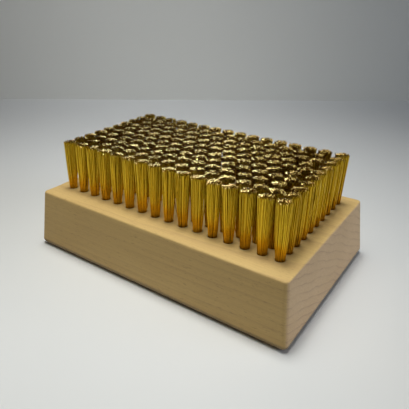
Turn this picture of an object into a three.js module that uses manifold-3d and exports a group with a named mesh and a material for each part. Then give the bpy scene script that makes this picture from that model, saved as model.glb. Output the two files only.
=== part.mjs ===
// Hand scrub brush: a beech block with 16 x 10 tufts of brass wire, each folded over an anchor in its own hole,
// with the inner rows staggered.
// Millimetres, +Z up. The origin is the centre of the block's grip face, which lies on the bench, tufts up.
// +X runs along the block and +Y across it. Row 1 is at -Y and column 1 at -X.
import * as THREE from 'three';
import { mergeVertices } from 'three/addons/utils/BufferGeometryUtils.js';
import Module from 'manifold-3d';

const wasm = await Module();
wasm.setup();

// Block: a frustum, widest just above its rounded grip face
const BLOCK_LENGTH = 126.5;
const BLOCK_WIDTH = 79.2;
const BLOCK_HEIGHT = 26.5;
const TOP_LENGTH = 121;
const TOP_WIDTH = 74;
const GRIP_ROUND = 2.6; // radius of the edge round the grip face
const GRIP_ROUND_STEPS = 4;
const TOP_CHAMFER = 0.4; // broken edge round the face that holds the tufts
const CORNER_ROUND = 1.8; // radius of the four upright edges
const CORNER_STEPS = 3;

// Tuft grid
const COLUMNS = 16;
const ROWS = 10;
const PITCH_X = 7;
const PITCH_Y = 6;
const GRID_SHIFT_X = -0.5; // the grid's centre from the block's centre
const GRID_SHIFT_Y = 1.4;
const STAGGER = 1.75; // shift of the inner rows along the block: a quarter of the pitch, alternate rows opposite
const STAGGER_FADE = 2; // over this many spacings at each end the shift fades away, which keeps the ends in line
const TIP_GATHER = 0.985; // spacing of the tips over spacing of the holes, as the outer tufts lean in a little
const TIP_SHIFT_X = 0.5; // all tips stand this much to the right of their holes

// Holes and tufts are eight-sided, with a flat towards each neighbour, so half sizes are to the flats
const SIDES = 8;
const HOLE_HALF = 1.9;
const HOLE_DEPTH = 11;
const GAP = 0.25; // clearance between a tuft or anchor and its hole
const TRIM_HEIGHT = 22.5; // tips above the face of the block
const TIP_HALF_X = 2.65;
const TIP_HALF_Y = 2.6;
const WAIST_LEVEL = 0.3; // share of the free height at which a tuft has spread
const WAIST_SPREAD = 0.55; // this share of the way from its hole to its tip
const JOINED_OVERLAP = 0.05; // how far each joined tip reaches past the middle between two tufts

// Anchor: flat wire standing on edge across the fold, along Y
const ANCHOR_THICKNESS = 0.4;
const ANCHOR_HEIGHT = 1.8;
const ANCHOR_LIFT = 1.4; // above the bottom of the hole
const EYE_GAP = 0.3; // clearance of the wires round the anchor

const BEECH = new THREE.MeshStandardMaterial({ color: 0xd0ab79, roughness: 0.6, metalness: 0 });
const BRASS = new THREE.MeshStandardMaterial({ color: 0xb08a2c, roughness: 0.35, metalness: 0.9 });
const STEEL = new THREE.MeshStandardMaterial({ color: 0xa4a6a8, roughness: 0.4, metalness: 1 });

const { lerp } = THREE.MathUtils;
const HOLE_FLOOR = BLOCK_HEIGHT - HOLE_DEPTH;
const TIP_HEIGHT = BLOCK_HEIGHT + TRIM_HEIGHT;

// A closed solid through rings of equal count, lowest first, each anticlockwise seen from above
function loft(rings) {
  const count = rings[0].length;
  const positions = rings.flat().flatMap((point) => point.toArray());
  const index = [];
  for (let level = 0; level + 1 < rings.length; level++) {
    for (let i = 0; i < count; i++) {
      const a = level * count + i;
      const b = level * count + ((i + 1) % count);
      index.push(a, b, b + count, a, b + count, a + count);
    }
  }
  const top = (rings.length - 1) * count;
  for (let i = 1; i + 1 < count; i++) {
    index.push(0, i + 1, i);
    index.push(top, top + i, top + i + 1);
  }
  const geometry = new THREE.BufferGeometry();
  geometry.setAttribute('position', new THREE.Float32BufferAttribute(positions, 3));
  geometry.setIndex(index);
  return geometry;
}

// A rectangle with rounded corners at height z
function roundedRing(length, width, radius, z) {
  const ring = [];
  for (let corner = 0; corner < 4; corner++) {
    const signX = corner === 0 || corner === 3 ? 1 : -1;
    const signY = corner < 2 ? 1 : -1;
    const centreX = signX * (length / 2 - radius);
    const centreY = signY * (width / 2 - radius);
    for (let step = 0; step <= CORNER_STEPS; step++) {
      const angle = (Math.PI / 2) * (corner + step / CORNER_STEPS);
      ring.push(new THREE.Vector3(centreX + radius * Math.cos(angle), centreY + radius * Math.sin(angle), z));
    }
  }
  return ring;
}

// An eight-sided ring whose flats stand halfX and halfY from its centre
function octagonRing(x, y, z, halfX, halfY) {
  const reach = 1 / Math.cos(Math.PI / SIDES);
  const ring = [];
  for (let side = 0; side < SIDES; side++) {
    const angle = (2 * Math.PI * (side + 0.5)) / SIDES;
    const alongX = halfX * reach * Math.cos(angle);
    const alongY = halfY * reach * Math.sin(angle);
    ring.push(new THREE.Vector3(x + alongX, y + alongY, z));
  }
  return ring;
}

function toSolid(geometry) {
  const bare = geometry.clone();
  bare.deleteAttribute('normal');
  bare.deleteAttribute('uv');
  const merged = mergeVertices(bare, 1e-4);
  const vertProperties = new Float32Array(merged.attributes.position.array);
  const triVerts = new Uint32Array(merged.index.array);
  return new wasm.Manifold(new wasm.Mesh({ numProp: 3, vertProperties, triVerts }));
}

function toGeometry(solid) {
  const { vertProperties, triVerts } = solid.getMesh();
  const geometry = new THREE.BufferGeometry();
  geometry.setAttribute('position', new THREE.BufferAttribute(vertProperties, 3));
  geometry.setIndex(new THREE.BufferAttribute(triVerts, 1));
  return geometry;
}

// How far a hole stands from its place in a plain grid, along X
function staggerShift(column, row) {
  if (row === 1 || row === ROWS) {
    return 0;
  }
  const holesToEnd = Math.min(column - 1, COLUMNS - column);
  const share = Math.min(holesToEnd / STAGGER_FADE, 1);
  return (row % 2 === 0 ? STAGGER : -STAGGER) * share;
}

// Where a hole's axis meets the face of the block, with columns and rows counted from 1
function holeCentre(column, row) {
  return {
    x: GRID_SHIFT_X + PITCH_X * (column - (COLUMNS + 1) / 2) + staggerShift(column, row),
    y: GRID_SHIFT_Y + PITCH_Y * (row - (ROWS + 1) / 2),
  };
}

function tipCentre(column, row) {
  const hole = holeCentre(column, row);
  return {
    x: GRID_SHIFT_X + (hole.x - GRID_SHIFT_X) * TIP_GATHER + TIP_SHIFT_X,
    y: GRID_SHIFT_Y + (hole.y - GRID_SHIFT_Y) * TIP_GATHER,
  };
}

function blockBody() {
  const rings = [];
  for (let step = 0; step <= GRIP_ROUND_STEPS; step++) {
    const angle = (Math.PI / 2) * (step / GRIP_ROUND_STEPS);
    const inset = 2 * GRIP_ROUND * (1 - Math.sin(angle));
    const z = GRIP_ROUND * (1 - Math.cos(angle));
    rings.push(roundedRing(BLOCK_LENGTH - inset, BLOCK_WIDTH - inset, CORNER_ROUND, z));
  }
  rings.push(roundedRing(TOP_LENGTH, TOP_WIDTH, CORNER_ROUND, BLOCK_HEIGHT - TOP_CHAMFER));
  const chamfered = 2 * TOP_CHAMFER;
  rings.push(roundedRing(TOP_LENGTH - chamfered, TOP_WIDTH - chamfered, CORNER_ROUND - TOP_CHAMFER, BLOCK_HEIGHT));
  return loft(rings);
}

// The drill's way into the block, which stands out of the face so that the cut is clean
function holeCutter(column, row) {
  const { x, y } = holeCentre(column, row);
  return loft([
    octagonRing(x, y, HOLE_FLOOR, HOLE_HALF, HOLE_HALF),
    octagonRing(x, y, BLOCK_HEIGHT + 1, HOLE_HALF, HOLE_HALF),
  ]);
}

function blockGeometry() {
  const cutters = [];
  for (let row = 1; row <= ROWS; row++) {
    for (let column = 1; column <= COLUMNS; column++) {
      cutters.push(toSolid(holeCutter(column, row)));
    }
  }
  return toGeometry(toSolid(blockBody()).subtract(wasm.Manifold.union(cutters)));
}

// The space that a tuft's wires fill: straight in the hole, spreading above it to tipLeft and tipRight
function tuftBody(column, row, tipLeft, tipRight) {
  const hole = holeCentre(column, row);
  const tip = { x: (tipLeft + tipRight) / 2, y: tipCentre(column, row).y };
  const tipHalfX = (tipRight - tipLeft) / 2;
  const rootHalf = HOLE_HALF - GAP;
  const waist = {
    x: lerp(hole.x, tip.x, WAIST_LEVEL),
    y: lerp(hole.y, tip.y, WAIST_LEVEL),
    z: lerp(BLOCK_HEIGHT, TIP_HEIGHT, WAIST_LEVEL),
    halfX: lerp(rootHalf, tipHalfX, WAIST_SPREAD),
    halfY: lerp(rootHalf, TIP_HALF_Y, WAIST_SPREAD),
  };
  return loft([
    octagonRing(hole.x, hole.y, HOLE_FLOOR + GAP, rootHalf, rootHalf),
    octagonRing(hole.x, hole.y, BLOCK_HEIGHT, rootHalf, rootHalf),
    octagonRing(waist.x, waist.y, waist.z, waist.halfX, waist.halfY),
    octagonRing(tip.x, tip.y, TIP_HEIGHT, tipHalfX, TIP_HALF_Y),
  ]);
}

function anchorBox(column, row, clearance, length) {
  const { x, y } = holeCentre(column, row);
  const thickness = ANCHOR_THICKNESS + 2 * clearance;
  const height = ANCHOR_HEIGHT + 2 * clearance;
  const box = new THREE.BoxGeometry(thickness, length, height);
  return box.translate(x, y, HOLE_FLOOR + ANCHOR_LIFT + ANCHOR_HEIGHT / 2);
}

function anchorGeometry(column, row) {
  return anchorBox(column, row, 0, 2 * (HOLE_HALF - GAP));
}

// One tuft, with the eye that its folded wires leave round the anchor
function tuftGeometry(column, row) {
  const tip = tipCentre(column, row);
  const body = toSolid(tuftBody(column, row, tip.x - TIP_HALF_X, tip.x + TIP_HALF_X));
  const eye = toSolid(anchorBox(column, row, EYE_GAP, 2 * HOLE_HALF));
  return toGeometry(body.subtract(eye));
}

// The middle between the tips of a column and the next
function tipBorder(column, row) {
  return (tipCentre(column, row).x + tipCentre(column + 1, row).x) / 2;
}

// The tufts of a row but the last, whose outermost wires meet at the tips, with their anchors inside them
function joinedRowGeometry(row) {
  const last = COLUMNS - 1;
  const tufts = [];
  for (let column = 1; column <= last; column++) {
    const tip = tipCentre(column, row);
    const left = column === 1 ? tip.x - TIP_HALF_X : tipBorder(column - 1, row) - JOINED_OVERLAP;
    const right = column === last ? tip.x + TIP_HALF_X : tipBorder(column, row) + JOINED_OVERLAP;
    tufts.push(toSolid(tuftBody(column, row, left, right)));
  }
  return toGeometry(wasm.Manifold.union(tufts));
}

function twoDigits(number) {
  return String(number).padStart(2, '0');
}

function addPiece(group, name, geometry, material) {
  const mesh = new THREE.Mesh(geometry, material);
  mesh.name = name;
  group.add(mesh);
}

function addTuftAndAnchor(group, column, row) {
  const place = `r${twoDigits(row)}_c${twoDigits(column)}`;
  addPiece(group, `tuft_${place}`, tuftGeometry(column, row), BRASS);
  addPiece(group, `anchor_${place}`, anchorGeometry(column, row), STEEL);
}

const brush = new THREE.Group();
addPiece(brush, 'block', blockGeometry(), BEECH);
for (let column = 1; column <= COLUMNS; column++) {
  addTuftAndAnchor(brush, column, 1);
}
for (let row = 2; row <= ROWS; row++) {
  addTuftAndAnchor(brush, COLUMNS, row);
  addPiece(brush, `tuft_row_${twoDigits(row)}`, joinedRowGeometry(row), BRASS);
}

export default brush;
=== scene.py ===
"""Looks of a block scrub brush: a beech block, 160 tufts of folded brass wire and their steel anchors.

Everything is in metres in the frame of the CAD part, with the block lying on its grip face at z = 0.
"""
import math

import bpy
import numpy as np
from mathutils import Matrix, Vector, noise


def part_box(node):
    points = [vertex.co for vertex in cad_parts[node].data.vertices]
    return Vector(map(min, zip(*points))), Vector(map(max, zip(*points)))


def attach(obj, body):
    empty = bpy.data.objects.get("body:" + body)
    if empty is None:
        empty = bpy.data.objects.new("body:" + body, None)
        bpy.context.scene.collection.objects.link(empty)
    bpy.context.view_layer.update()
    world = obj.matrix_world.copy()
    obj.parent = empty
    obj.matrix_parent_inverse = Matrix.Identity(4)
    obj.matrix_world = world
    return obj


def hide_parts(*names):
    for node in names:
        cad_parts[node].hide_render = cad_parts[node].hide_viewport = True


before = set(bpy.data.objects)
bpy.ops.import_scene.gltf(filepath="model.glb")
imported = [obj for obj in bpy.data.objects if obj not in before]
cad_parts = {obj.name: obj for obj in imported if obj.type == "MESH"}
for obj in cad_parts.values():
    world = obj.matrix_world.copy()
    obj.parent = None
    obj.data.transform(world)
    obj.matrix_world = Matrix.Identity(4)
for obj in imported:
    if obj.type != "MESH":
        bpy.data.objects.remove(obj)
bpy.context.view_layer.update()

MM = 0.001
LEVEL_TOLERANCE = 0.01 * MM  # corners of the CAD whose heights differ by less lie level
COLUMNS = 16
ROWS = 10
STAGGER = 0.25  # of a spacing, how far the tufts of the inner rows are shifted
STAGGER_FADE = 2  # over this many spacings at each end of a row the stagger fades away
PLACES = [(column, row) for row in range(1, ROWS + 1) for column in range(1, COLUMNS + 1)]
SEED = 41


def centre_of(node):
    low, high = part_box(node)
    return (low + high) / 2


def tip_box(node):
    """Lowest and highest corners of the flat top of a CAD tuft."""
    corners = np.array([v.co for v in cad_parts[node].data.vertices])
    ring = corners[corners[:, 2] > corners[:, 2].max() - LEVEL_TOLERANCE]
    return Vector(ring.min(axis=0)), Vector(ring.max(axis=0))


# Places and sizes that the frame gives
FIRST_HOLE = centre_of("anchor_r01_c01")
LAST_HOLE = centre_of(f"anchor_r{ROWS:02d}_c{COLUMNS:02d}")
FIRST_TIP_LOW, FIRST_TIP_HIGH = tip_box("tuft_r01_c01")
LAST_TIP_LOW, LAST_TIP_HIGH = tip_box(f"tuft_r{ROWS:02d}_c{COLUMNS:02d}")
FIRST_TIP = (FIRST_TIP_LOW + FIRST_TIP_HIGH) / 2
LAST_TIP = (LAST_TIP_LOW + LAST_TIP_HIGH) / 2
TIP_HALF = (FIRST_TIP_HIGH - FIRST_TIP_LOW) / 2
TIP_Z = FIRST_TIP.z
ANCHOR_LOW, ANCHOR_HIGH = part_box("anchor_r01_c01")
ANCHOR_SIZE = ANCHOR_HIGH - ANCHOR_LOW
BLOCK_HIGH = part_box("block")[1]
FACE_Z = BLOCK_HIGH.z

# Block
TOP_ROUND = 0.45 * MM  # of the upper arrises
CORNER_ROUND = 1.8 * MM  # of the upright edges
GRIP_ROUND = 2.6 * MM  # of the edges of the grip face
OUTLINE_STEPS = (8, 60)  # parts of each rounded corner and of each side
ARRIS_WEAR = 0.8 * MM  # about the most that the upper arrises are rubbed in
ARRIS_DEPTH = 1.7 * MM  # the wear ends this far under the tufted face
DENT_LENGTH = 9 * MM
NICK_LENGTH = 2.2 * MM
HOLE_GAP = 0.25 * MM  # between what stands in a hole and its wall and floor
HOLE_RADIUS = ANCHOR_SIZE.y / 2 + HOLE_GAP
HOLE_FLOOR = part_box("tuft_r01_c01")[0].z - HOLE_GAP
RIM_WIDTH = 0.18 * MM  # crushed rim of each hole

# Wires
TIP_SPREAD = np.array((TIP_HALF.x + 0.2 * MM, TIP_HALF.y + 0.1 * MM))  # half sizes of a tuft at its tip
WIRE_RADIUS = 0.14 * MM
WIRE_SIDES = 5
WIRE_SPACING = 0.32 * MM  # between neighbours at the mouth of the hole
MOUTH_GAP = 0.05 * MM  # between the outermost wires and the wall of the hole
MOUTH_JITTER = 0.03 * MM
TIP_JITTER = 0.2 * MM
TUFT_LEAN = 0.12 * MM
BOW = 0.15 * MM
CURL = 0.12 * MM  # of the last tenth of each wire, which bends its own way
SPLAY = 0.7  # under 1, so that the wires spread most near the hole
STRAY_SHARE = 0.012  # of the legs
STRAY_REACH = 1.6  # a stray leg ends this many times as far out as it would
TIP_DROP = 0.06 * MM  # from the CAD's tips down to the highest wires' centre lines
CROWN = 0.35 * MM  # how much lower the rim of a tuft is trimmed than its middle
TRIM_JITTER = 0.2 * MM
CUT_JITTER = 0.06  # rise over run
CUT_FALL = (0.26, 0.2)  # rise over run at the rim of a tuft, in X and in Y
FOLD_GAP = 0.02 * MM  # between the anchor and the wires beside it
FOLD_DROP = 0.2 * MM  # from the anchor's lower edge to the centre of the innermost fold
FOLD_DEPTH = 0.8 * MM  # from the innermost fold to the outermost

# Anchors
ANCHOR_EASE = 0.08 * MM
ANCHOR_CORNER_STEPS = 2


def field_place(first, last, column, row):
    """A place in the field of tufts, whose inner rows are staggered, less and less towards their ends."""
    pitch = (last.x - first.x) / (COLUMNS - 1)
    share = 0 if row in (1, ROWS) else min(column - 1, COLUMNS - column, STAGGER_FADE) / STAGGER_FADE
    shift = pitch * STAGGER * share * (1 if row % 2 == 0 else -1)
    y = first.y + (last.y - first.y) * (row - 1) / (ROWS - 1)
    return np.array((first.x + pitch * (column - 1) + shift, y))


def hole_centre(column, row):
    return field_place(FIRST_HOLE, LAST_HOLE, column, row)


def tip_centre(column, row):
    return field_place(FIRST_TIP, LAST_TIP, column, row)


# ---------------------------------------------------------------- camera, stage and light


VIEW_HEADING = math.radians(34.51)  # of the camera, from +Y towards -X


def add_camera():
    """A 40 mm lens on a 36 mm sensor, looking 26.5 degrees down over the near right corner."""
    place = Vector((0.1051, -0.1490, 0.1132))
    down, roll = math.radians(26.52), math.radians(0.32)
    turn = Matrix.Rotation(VIEW_HEADING, 4, "Z") @ Matrix.Rotation(math.pi / 2 - down, 4, "X")
    data = bpy.data.cameras.new("camera")
    data.lens = 39.975
    data.sensor_width = 36
    data.clip_start = 0.01
    camera = bpy.data.objects.new("camera", data)
    camera.matrix_world = Matrix.Translation(place) @ turn @ Matrix.Rotation(roll, 4, "Z")
    bpy.context.scene.collection.objects.link(camera)
    bpy.context.scene.camera = camera


def add_area_light(name, place, target, size, power, colour, spread):
    """A rectangular lamp of so many watts, whose light leaves within a cone of spread degrees."""
    data = bpy.data.lights.new(name, "AREA")
    data.shape = "RECTANGLE"
    data.size, data.size_y = size
    data.energy = power
    data.color = colour
    data.spread = math.radians(spread)
    light = bpy.data.objects.new(name, data)
    light.location = place
    light.rotation_euler = (Vector(target) - Vector(place)).to_track_quat("-Z", "Y").to_euler()
    bpy.context.scene.collection.objects.link(light)


def add_lights():
    """Two softboxes overhead, a warm fill, a cool window, and two low lamps that the cut wires mirror."""
    add_area_light(
        "overhead_softbox", place=(-0.035, 0.03, 0.5), target=(0.01, -0.03, 0), size=(0.13, 0.13),
        power=0.235, colour=(1, 1, 0.99), spread=72)
    add_area_light(
        "near_softbox", place=(-0.02, -0.05, 0.33), target=(-0.02, -0.05, 0), size=(0.2, 0.2),
        power=0.2, colour=(1, 1, 0.9), spread=120)
    add_area_light(
        "front_fill", place=(-0.42, -0.5, 0.2), target=(0, 0, 0.03), size=(0.4, 0.3),
        power=0.245, colour=(1, 0.88, 0.73), spread=180)
    add_area_light(
        "window_right", place=(0.9, 0.35, 0.27), target=(0, 0, 0.02), size=(0.7, 0.5),
        power=0.6, colour=(0.89, 1, 1.22), spread=70)
    add_area_light(
        "back_glint", place=(-0.11, 0.118, 0.117), target=(0.01, -0.045, 0.1), size=(0.125, 0.033),
        power=0.037, colour=(1, 0.96, 0.87), spread=54)
    add_area_light(
        "right_glint", place=(-0.02, 0.15, 0.117), target=(0.045, -0.02, 0.06), size=(0.1, 0.033),
        power=0.005, colour=(1, 0.86, 0.6), spread=44)
    add_area_light(
        "wall_wash", place=(-0.12, 0.02, 0.55), target=(-0.2, 0.2, 0.12), size=(0.2, 0.1),
        power=0.095, colour=(0.99, 1, 1.03), spread=60)
    world = bpy.data.worlds.new("studio")
    world.use_nodes = True
    background = world.node_tree.nodes["Background"]
    background.inputs["Color"].default_value = (0.9, 0.95, 1, 1)
    background.inputs["Strength"].default_value = 0.02
    bpy.context.scene.world = world
    bpy.context.scene.view_settings.view_transform = "Standard"


def add_stage():
    """A pale table that ends behind the brush and a grey wall, both square to the camera's heading.

    The wall ends just above the picture, so that the cut wires mirror the dark room over it.
    """
    side, near, back = 3, -2.5, 0.287
    floor = plain_sheet("floor", [(-side, near, 0), (side, near, 0), (side, back, 0), (-side, back, 0)])
    floor.data.materials.append(stage_material("pale_floor", (0.73, 0.74, 0.735), 0.5))
    side, low, top = 4, -1, 0.107
    wall = plain_sheet("wall", [(-side, back, low), (side, back, low), (side, back, top), (-side, back, top)])
    wall.data.materials.append(stage_material("grey_wall", (0.79, 0.79, 0.745), 0.9))
    for sheet in (floor, wall):
        sheet.matrix_world = Matrix.Rotation(VIEW_HEADING, 4, "Z")


def plain_sheet(name, corners):
    mesh = bpy.data.meshes.new(name)
    mesh.from_pydata(corners, [], [(0, 1, 2, 3)])
    sheet = bpy.data.objects.new(name, mesh)
    bpy.context.scene.collection.objects.link(sheet)
    return sheet


def stage_material(name, colour, roughness):
    shader = Shader(name)
    shader.principled.inputs["Base Color"].default_value = (*colour, 1)
    shader.principled.inputs["Roughness"].default_value = roughness
    shader.principled.inputs["Specular IOR Level"].default_value = 0.3
    return shader.material


# ---------------------------------------------------------------- materials


class Shader:
    """A material with a Principled shader, and short ways to add the nodes that drive it."""

    def __init__(self, name):
        self.material = bpy.data.materials.new(name)
        self.material.use_nodes = True
        self.tree = self.material.node_tree
        self.principled = self.tree.nodes["Principled BSDF"]

    def node(self, kind, inputs=None, **settings):
        made = self.tree.nodes.new("ShaderNode" + kind)
        for key, value in settings.items():
            setattr(made, key, value)
        for key, value in (inputs or {}).items():
            self.feed(made.inputs[key], value)
        return made

    def feed(self, socket, value):
        if isinstance(value, bpy.types.NodeSocket):
            self.tree.links.new(value, socket)
        else:
            socket.default_value = value

    def coordinates(self, kind="Object"):
        return self.node("TexCoord").outputs[kind]

    def part(self, vector, axis):
        return self.node("SeparateXYZ", {"Vector": vector}).outputs[axis]

    def place(self, scale, rotation=(0, 0, 0), offset=(0, 0, 0)):
        """Object coordinates, stretched by scale, then turned and moved."""
        inputs = {"Vector": self.coordinates(), "Scale": scale, "Rotation": rotation, "Location": offset}
        return self.node("Mapping", inputs).outputs["Vector"]

    def noise(self, scale, detail, roughness=0.5):
        """Noise with about so many changes per metre along X, Y and Z."""
        inputs = {"Vector": self.place(scale), "Scale": 1, "Detail": detail, "Roughness": roughness}
        return self.node("TexNoise", inputs).outputs["Fac"]

    def grain(self, along, across, detail, roughness=0.5):
        """Noise of the wood, whose grain runs along X."""
        return self.noise((along, across, across), detail, roughness)

    def maths(self, operation, *values):
        made = self.node("Math", operation=operation)
        for socket, value in zip(made.inputs, values):
            self.feed(socket, value)
        return made.outputs[0]

    def remap(self, value, low, high, to_low=0.0, to_high=1.0):
        made = self.node("MapRange", {"Value": value, "From Min": low, "From Max": high})
        made.inputs["To Min"].default_value = to_low
        made.inputs["To Max"].default_value = to_high
        return made.outputs["Result"]

    def mix(self, factor, first, second, blend="MIX"):
        made = self.node("Mix", data_type="RGBA", blend_type=blend)
        self.feed(made.inputs[0], factor)
        self.feed(made.inputs[6], first)
        self.feed(made.inputs[7], second)
        return made.outputs[2]

    def ramp(self, value, stops):
        made = self.node("ValToRGB", {"Fac": value})
        elements = made.color_ramp.elements
        while len(elements) < len(stops):
            elements.new(0.5)
        for element, (position, colour) in zip(elements, stops):
            element.position = position
            element.color = (*colour, 1)
        return made.outputs["Color"]

    def bump(self, height, strength, distance):
        made = self.node("Bump", {"Height": height, "Strength": strength, "Distance": distance})
        self.feed(self.principled.inputs["Normal"], made.outputs["Normal"])


RING_SPACING = 3.1  # mm
RING_AXIS = (0, 127, 259)  # mm; the rings' axis passes this far in front of the origin and below it
RING_LEAN = (0, math.radians(1.6), math.radians(-1.2))  # between the axis and X
RING_WARP = 5  # mm, how far the rings wander
FOOT_EDGE = (2.6, 3.4)  # mm; the painted shade along the foot of the block fades between these heights
FOOT_WANDER = 0.6  # mm
FOOT_SHARE = 0.62
PER_MM = (1000, 1000, 1000)
EARLY_WOOD = [(0.3, (0.60, 0.41, 0.15)), (0.7, (0.67, 0.47, 0.18))]
LATE_WOOD = (0.44, 0.26, 0.11, 1)
STREAK_BROWN = (0.49, 0.31, 0.14, 1)
FLECK_BROWN = (0.30, 0.16, 0.065, 1)
PORE_BROWN = (0.33, 0.2, 0.09, 1)
# painted light: the cool cast of the window light, multiplied into the end faces
END_FACE_COOL_LIGHT = (0.98, 0.96, 1.3, 1)
# painted shade: the dark brown that the foot of the block turns towards, where it curves under towards the
# table
FOOT_SHADE_BROWN = (0.13, 0.085, 0.055, 1)


def growth_rings(shader, end_grain, wander):
    """How much late wood shows, in shells round an axis nearly along X, most of all on the end grain."""
    around = shader.place(PER_MM, rotation=RING_LEAN, offset=RING_AXIS)
    squares = [shader.maths("POWER", shader.part(around, axis), 2) for axis in "YZ"]
    radius = shader.maths("SQRT", shader.maths("ADD", *squares))
    warped = shader.maths("ADD", radius, shader.maths("MULTIPLY", wander, RING_WARP))
    phase = shader.maths("FRACT", shader.maths("DIVIDE", warped, RING_SPACING))
    ring = shader.maths("POWER", phase, shader.maths("MULTIPLY_ADD", end_grain, 3, 3))
    year = shader.remap(shader.grain(8, 130, 2), 0.38, 0.62, 0.25, 1)
    depth = shader.maths("MULTIPLY", shader.maths("MULTIPLY_ADD", end_grain, 0.4, 0.42), year)
    return shader.maths("MULTIPLY", ring, depth)


def painted_foot_shade(shader, colour, wander):
    """The colour, darkened with painted shade over the lowest 3 mm of the block, up to a line that wanders.
    """
    height = shader.part(shader.place(PER_MM), "Z")
    wandering = shader.maths("ADD", height, shader.maths("MULTIPLY", wander, FOOT_WANDER))
    return shader.mix(shader.remap(wandering, *FOOT_EDGE, FOOT_SHARE, 0), colour, FOOT_SHADE_BROWN)


def beech_material():
    """Beech sawn along the grain: faint growth rings, short dark flecks and fine pores, with painted shade
    along the foot and a painted cool cast of window light on the end faces.
    """
    shader = Shader("beech")
    facing = shader.part(shader.coordinates("Normal"), "X")
    end_grain = shader.remap(shader.maths("ABSOLUTE", facing), 0.6, 0.85)
    wander = shader.grain(9, 60, 3)
    streak = shader.grain(45, 1500, 3, 0.6)
    fleck = shader.remap(shader.grain(420, 2600, 1), 0.64, 0.72)
    pore = shader.grain(900, 7000, 1)

    colour = shader.ramp(shader.grain(12, 45, 3), EARLY_WOOD)
    colour = shader.mix(growth_rings(shader, end_grain, wander), colour, LATE_WOOD)
    colour = shader.mix(shader.remap(streak, 0.35, 0.7, 0, 0.28), colour, STREAK_BROWN)
    colour = shader.mix(shader.maths("MULTIPLY", fleck, 0.36), colour, FLECK_BROWN)
    colour = shader.mix(shader.remap(pore, 0.55, 0.8, 0, 0.2), colour, PORE_BROWN)
    # painted light: the end faces tinted by the cool window light
    colour = shader.mix(end_grain, colour, END_FACE_COOL_LIGHT, "MULTIPLY")
    # painted shade along the foot of the block, not dirt
    shader.feed(shader.principled.inputs["Base Color"], painted_foot_shade(shader, colour, wander))
    shader.feed(shader.principled.inputs["Roughness"], shader.remap(streak, 0.3, 0.7, 0.52, 0.7))
    shader.principled.inputs["Specular IOR Level"].default_value = 0.35
    relief = shader.maths("ADD", streak, shader.maths("MULTIPLY", pore, 0.5))
    shader.bump(relief, 0.18, 0.1 * MM)
    return shader.material


BRASS_UP = [(0, (0.90, 0.54, 0.035)), (0.25, (0.96, 0.64, 0.035)), (1, (0.95, 0.68, 0.045))]
DULL_BRASS = (0.50, 0.31, 0.02, 1)
BRIGHT_CUT = (0.92, 0.75, 0.28, 1)
DULL_CUT = (0.66, 0.48, 0.14, 1)
STEEL = [(0.35, (0.40, 0.40, 0.41)), (0.7, (0.58, 0.58, 0.60))]


def metal(shader, colour, roughness):
    shader.feed(shader.principled.inputs["Base Color"], colour)
    shader.principled.inputs["Metallic"].default_value = 1
    shader.principled.inputs["Roughness"].default_value = roughness
    return shader.material


def brass_wire_material():
    """Drawn brass, duller and browner towards the hole, each wire with a tone of its own."""
    shader = Shader("brass_wire")
    up = shader.remap(shader.part(shader.coordinates(), "Z"), FACE_Z, TIP_Z)
    tone = shader.node("Attribute", attribute_name="tone").outputs["Fac"]
    return metal(shader, shader.mix(tone, shader.ramp(up, BRASS_UP), DULL_BRASS), 0.16)


def cut_tip_material():
    """The sheared ends of the wires: bare bright metal."""
    shader = Shader("cut_tips")
    tone = shader.node("Attribute", attribute_name="tone").outputs["Fac"]
    return metal(shader, shader.mix(tone, BRIGHT_CUT, DULL_CUT), 0.17)


def anchor_material():
    """Plain flat steel wire with faint draw marks."""
    shader = Shader("anchor_steel")
    drawn = shader.noise((4000, 150, 4000), 2)
    return metal(shader, shader.ramp(drawn, STEEL), 0.38)


# ---------------------------------------------------------------- meshes


def add_piece(name, mesh, slot, *nodes):
    """A piece of the brush, standing for the CAD nodes named, if any."""
    piece = bpy.data.objects.new(name, mesh)
    bpy.context.scene.collection.objects.link(piece)
    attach(piece, "root")
    if nodes:
        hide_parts(*nodes)


def rounded_ring(half_x, half_y, radius, z, steps, along=1):
    """A rectangle with rounded corners, anticlockwise seen from above, its sides cut into equal parts."""
    arcs = []
    for corner, (sign_x, sign_y) in enumerate([(1, 1), (-1, 1), (-1, -1), (1, -1)]):
        arc = []
        for step in range(steps + 1):
            angle = math.pi / 2 * (corner + step / steps)
            x = sign_x * (half_x - radius) + radius * math.cos(angle)
            y = sign_y * (half_y - radius) + radius * math.sin(angle)
            arc.append((x, y, z))
        arcs.append(arc)
    ring = []
    for arc, following in zip(arcs, arcs[1:] + arcs[:1]):
        ring += arc
        ring += [tuple(point) for point in np.linspace(arc[-1], following[0], along + 1)[1:-1].tolist()]
    return ring


def worn(ring, share):
    """A ring of the upper arris moved inwards by a share of the wear, which comes and goes along the edge."""
    moved = []
    for x, y, z in ring:
        dents = noise.noise(Vector((x, y, 0)) / DENT_LENGTH) + noise.noise(Vector((y, x, 0)) / NICK_LENGTH)
        depth = ARRIS_WEAR * share * max(0, 0.4 + 0.6 * dents)
        moved.append((x * (1 - depth / BLOCK_HIGH.x), y * (1 - depth / BLOCK_HIGH.y), z))
    return moved


def top_half_size():
    """Half the length and width of the CAD block at the top of its sloping sides, where its arris starts."""
    corners = [v.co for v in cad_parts["block"].data.vertices]
    levels = sorted({round(co.z, 5) for co in corners if co.z > HOLE_FLOOR + 1 * MM})
    edge = [co for co in corners if abs(co.z - levels[-2]) < LEVEL_TOLERANCE]
    return max(co.x for co in edge), max(co.y for co in edge)


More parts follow.
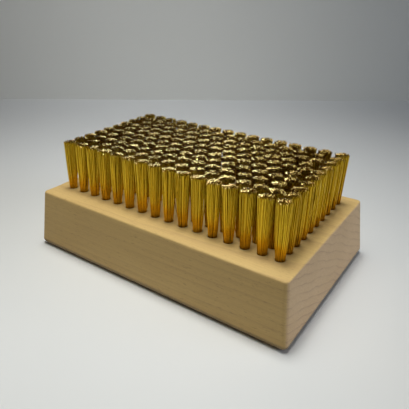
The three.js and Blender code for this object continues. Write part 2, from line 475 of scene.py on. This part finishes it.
def block_rings():
    """Outlines of the block from its grip face up."""
    grip_steps, top_steps = 8, 5
    half_x, half_y = BLOCK_HIGH.x, BLOCK_HIGH.y
    top_x, top_y = top_half_size()
    rings = []
    for step in range(grip_steps + 1):
        angle = math.pi / 2 * step / grip_steps
        inset = GRIP_ROUND * (1 - math.sin(angle))
        z = GRIP_ROUND * (1 - math.cos(angle))
        rings.append(rounded_ring(half_x - inset, half_y - inset, CORNER_ROUND, z, *OUTLINE_STEPS))
    below = (ARRIS_DEPTH - TOP_ROUND) / (FACE_Z - TOP_ROUND - GRIP_ROUND)  # share of the sloping side
    side_x, side_y = top_x + (half_x - top_x) * below, top_y + (half_y - top_y) * below
    rings.append(rounded_ring(side_x, side_y, CORNER_ROUND, FACE_Z - ARRIS_DEPTH, *OUTLINE_STEPS))
    for step in range(top_steps + 1):
        angle = math.pi / 2 * step / top_steps
        inset = TOP_ROUND * (1 - math.cos(angle))
        z = FACE_Z - TOP_ROUND * (1 - math.sin(angle))
        ring = rounded_ring(top_x - inset, top_y - inset, CORNER_ROUND - inset, z, *OUTLINE_STEPS)
        rings.append(worn(ring, (step + 1) / (top_steps + 1)))
    return rings


def lofted(name, rings):
    """A closed mesh through rings of equal count, lowest first."""
    count = len(rings[0])
    vertices = [point for ring in rings for point in ring]
    faces = [tuple(reversed(range(count)))]
    for level in range(len(rings) - 1):
        for i in range(count):
            a, b = level * count + i, level * count + (i + 1) % count
            faces.append((a, b, b + count, a + count))
    faces.append(tuple(range((len(rings) - 1) * count, len(rings) * count)))
    mesh = bpy.data.meshes.new(name)
    mesh.from_pydata(vertices, [], faces)
    return mesh


def circle(centre, radius, z, sides=20):
    angles = [2 * math.pi * i / sides for i in range(sides)]
    return [(centre[0] + radius * math.cos(a), centre[1] + radius * math.sin(a), z) for a in angles]


def hole_cutters():
    """One mesh of 160 drill shapes: a flat floor, a straight wall and a slightly crushed rim."""
    vertices, faces = [], []
    for place in PLACES:
        centre = hole_centre(*place)
        rings = [
            circle(centre, HOLE_RADIUS, HOLE_FLOOR),
            circle(centre, HOLE_RADIUS, FACE_Z - RIM_WIDTH),
            circle(centre, HOLE_RADIUS + RIM_WIDTH, FACE_Z),
            circle(centre, HOLE_RADIUS + RIM_WIDTH, FACE_Z + 1 * MM),
        ]
        drill = lofted("drill", rings)
        start = len(vertices)
        vertices += [tuple(v.co) for v in drill.vertices]
        faces += [[start + i for i in p.vertices] for p in drill.polygons]
        bpy.data.meshes.remove(drill)
    mesh = bpy.data.meshes.new("drills")
    mesh.from_pydata(vertices, [], faces)
    return mesh


def drilled(mesh):
    """The mesh with the 160 holes cut into it."""
    solid = bpy.data.objects.new("solid", mesh)
    drills = bpy.data.objects.new("drills", hole_cutters())
    for thing in (solid, drills):
        bpy.context.scene.collection.objects.link(thing)
    cut = solid.modifiers.new("holes", "BOOLEAN")
    cut.operation = "DIFFERENCE"
    cut.solver = "EXACT"
    cut.object = drills
    graph = bpy.context.evaluated_depsgraph_get()
    result = bpy.data.meshes.new_from_object(solid.evaluated_get(graph))
    for thing in (solid, drills):
        bpy.data.objects.remove(thing)
    return result


def add_block():
    mesh = drilled(lofted("block_shape", block_rings()))
    mesh.name = "beech_block"
    mesh.shade_smooth()
    mesh.set_sharp_from_angle(angle=math.radians(35))
    mesh.materials.clear()
    mesh.materials.append(beech_material())
    add_piece("beech_block", mesh, "beech", "block")


def leg_places():
    """Where the right-hand legs of the folded wires pass the mouth of the hole: a packed half disc."""
    places = []
    reach = HOLE_RADIUS - WIRE_RADIUS - MOUTH_GAP
    row_gap = WIRE_SPACING * math.sqrt(3) / 2
    rows = int(reach / row_gap)
    for j in range(-rows, rows + 1):
        x = WIRE_SPACING * (0.5 if j % 2 else 1.0) - WIRE_SPACING / 4
        while math.hypot(x, j * row_gap) <= reach:
            places.append((x, j * row_gap))
            x += WIRE_SPACING
    return np.array(places), reach


LEGS, LEG_REACH = leg_places()
LEVELS = np.array([1.0, 0.9, 0.7, 0.42, 0.18, 0.05, 0.0])  # shares of the free height, tip first


def leg_lines(rng, sign, hole, tip):
    """Centre lines of one side's legs, from tip to mouth: wires x levels x 3."""
    count = len(LEGS)
    root = LEGS * (sign, 1) + rng.normal(0, MOUTH_JITTER, (count, 2))
    end = root / LEG_REACH * TIP_SPREAD + rng.normal(0, TIP_JITTER, (count, 2))
    curl = rng.normal(0, CURL, (count, 2))
    over = np.hypot(*((end + curl) / TIP_SPREAD).T)
    end /= np.maximum(over, 1)[:, None]
    end[rng.random(count) < STRAY_SHARE] *= STRAY_REACH
    bend = rng.normal(0, BOW, (count, 2))
    lines = np.zeros((count, len(LEVELS), 3))
    for i, level in enumerate(LEVELS):
        eased = level**SPLAY
        middle = hole + (tip - hole) * level
        bow = bend * math.sin(math.pi * level) + curl * (level == 1)
        lines[:, i, :2] = middle + root * (1 - eased) + end * eased + bow
        lines[:, i, 2] = FACE_Z + (TIP_Z - FACE_Z) * level
    outward = np.minimum(np.hypot(*((lines[:, 0, :2] - tip) / TIP_SPREAD).T), 1)
    lines[:, 0, 2] -= TIP_DROP + CROWN * outward**2 + np.abs(rng.normal(0, TRIM_JITTER, count))
    return lines


def fold_lines(hole):
    """The hidden part of the wires: down the hole, round the anchor's lower edge and up again."""
    clear = ANCHOR_SIZE.x / 2 + WIRE_RADIUS + FOLD_GAP
    side = clear + LEGS[:, 0] * (LEG_REACH - clear) / LEG_REACH
    drop = FOLD_DROP + FOLD_DEPTH * LEGS[:, 0] / LEG_REACH
    # Shares of side and of drop, and the height that the drop is taken from
    shape = [(1, 0, ANCHOR_HIGH.z), (1, 0, ANCHOR_LOW.z), (0.7, 0.8, ANCHOR_LOW.z), (0, 1, ANCHOR_LOW.z)]
    shape += [(-x, fall, z) for x, fall, z in reversed(shape[:-1])]
    lines = np.zeros((len(LEGS), len(shape), 3))
    for i, (x, fall, z) in enumerate(shape):
        lines[:, i, 0] = hole[0] + side * x
        lines[:, i, 1] = hole[1] + LEGS[:, 1]
        lines[:, i, 2] = z - drop * fall
    return lines


def wire_points(lines, slants):
    """Corners of the rings round the centre lines: wires x levels x sides x 3, the first and last slanted."""
    along = np.gradient(lines, axis=1)
    along /= np.linalg.norm(along, axis=2, keepdims=True)
    side = np.cross(np.array((0, 1.0, 0)), along)
    side /= np.linalg.norm(side, axis=2, keepdims=True)
    other = np.cross(along, side)
    angles = 2 * np.pi * np.arange(WIRE_SIDES) / WIRE_SIDES
    around = side[:, :, None, :] * np.cos(angles)[None, None, :, None]
    around = around + other[:, :, None, :] * np.sin(angles)[None, None, :, None]
    points = lines[:, :, None, :] + WIRE_RADIUS * around
    wave = np.stack([np.cos(angles), np.sin(angles)])
    for end in (0, -1):
        slant = WIRE_RADIUS * slants[:, end] @ wave
        points[:, end] += slant[:, :, None] * along[:, end, None, :]
    return points


def wire_faces(wires, steps):
    """Faces of the wires, and the material of each: 0 along a wire, 1 on its cut ends."""
    faces, slots = [], []
    for wire in range(wires):
        start = wire * steps * WIRE_SIDES
        for step in range(steps - 1):
            ring = start + step * WIRE_SIDES
            for i in range(WIRE_SIDES):
                a, b = ring + i, ring + (i + 1) % WIRE_SIDES
                faces.append((a, b, b + WIRE_SIDES, a + WIRE_SIDES))
        last = start + (steps - 1) * WIRE_SIDES
        faces.append(tuple(range(start + WIRE_SIDES - 1, start - 1, -1)))
        faces.append(tuple(range(last, last + WIRE_SIDES)))
        slots += [0] * ((steps - 1) * WIRE_SIDES) + [1, 1]
    return faces, slots


def sharpen_ends(mesh, steps):
    """Keep the edges round the cut ends crisp where the wires are shaded smooth."""
    ends = np.empty(2 * len(mesh.edges), dtype=np.int32)
    mesh.edges.foreach_get("vertices", ends)
    rings = ends.reshape(-1, 2) // WIRE_SIDES
    at_end = np.isin(rings[:, 0] % steps, (0, steps - 1))
    sharp = mesh.attributes.new("sharp_edge", "BOOLEAN", "EDGE")
    sharp.data.foreach_set("value", at_end & (rings[:, 0] == rings[:, 1]))


def wire_mesh(name, lines, tones, slants):
    """Round wires along centre lines, each with its own tone and with slanted cut ends."""
    wires, steps = lines.shape[:2]
    faces, slots = wire_faces(wires, steps)
    mesh = bpy.data.meshes.new(name)
    mesh.from_pydata(wire_points(lines, slants).reshape(-1, 3).tolist(), [], faces)
    mesh.polygons.foreach_set("material_index", slots)
    mesh.polygons.foreach_set("use_smooth", [slot == 0 for slot in slots])
    sharpen_ends(mesh, steps)
    tone = mesh.attributes.new("tone", "FLOAT", "POINT")
    tone.data.foreach_set("value", np.repeat(tones, steps * WIRE_SIDES).astype(np.float32))
    return mesh


def tuft_node(column, row):
    """The CAD node that holds this tuft: its own, or its row's."""
    if row == 1 or column == COLUMNS:
        return f"tuft_r{row:02d}_c{column:02d}"
    return f"tuft_row_{row:02d}"


def end_slants(rng, lines, tip):
    """Rise over run of both cut ends of each wire, which fall away from the middle of the tuft."""
    slants = rng.normal(0, CUT_JITTER, (len(lines), 2, 2))
    outward = (lines[:, [0, -1], :2] - tip) / (TIP_HALF.x, TIP_HALF.y) * CUT_FALL
    outward[:, 0, 1] *= -1  # the first end points down its wire, which turns its second axis round
    return slants - outward


def add_tuft(rng, column, row, materials):
    hole = hole_centre(column, row)
    tip = tip_centre(column, row) + rng.normal(0, TUFT_LEAN, 2)
    right = leg_lines(rng, 1, hole, tip)
    left = leg_lines(rng, -1, hole, tip)
    lines = np.concatenate([right, fold_lines(hole), left[:, ::-1]], axis=1)
    tones = np.clip(rng.normal(0.35, 0.25, len(LEGS)), 0, 1)
    name = f"wires_r{row:02d}_c{column:02d}"
    mesh = wire_mesh(name, lines, tones, end_slants(rng, lines, tip))
    for material in materials:
        mesh.materials.append(material)
    add_piece(name, mesh, "brass_wire", tuft_node(column, row))


def anchor_mesh(name, centre):
    """A flat wire standing on edge across the hole, its arrises eased."""
    half = ANCHOR_SIZE / 2
    rings = []
    eased = half.z - ANCHOR_EASE
    for up, inset in ((-half.z, ANCHOR_EASE), (-eased, 0), (eased, 0), (half.z, ANCHOR_EASE)):
        outline = rounded_ring(half.x - inset, half.y - inset, ANCHOR_EASE, up, ANCHOR_CORNER_STEPS)
        rings.append([(x + centre[0], y + centre[1], z + FIRST_HOLE.z) for x, y, z in outline])
    return lofted(name, rings)


def add_anchor(column, row, material):
    node = f"anchor_r{row:02d}_c{column:02d}"
    name = f"steel_{node}"
    mesh = anchor_mesh(name, hole_centre(column, row))
    mesh.materials.append(material)
    add_piece(name, mesh, "anchor_steel", *([node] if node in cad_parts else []))


def add_tufts_and_anchors():
    rng = np.random.default_rng(SEED)
    wires = [brass_wire_material(), cut_tip_material()]
    steel = anchor_material()
    for column, row in PLACES:
        add_tuft(rng, column, row, wires)
        add_anchor(column, row, steel)


add_camera()
add_lights()
add_stage()
add_block()
add_tufts_and_anchors()
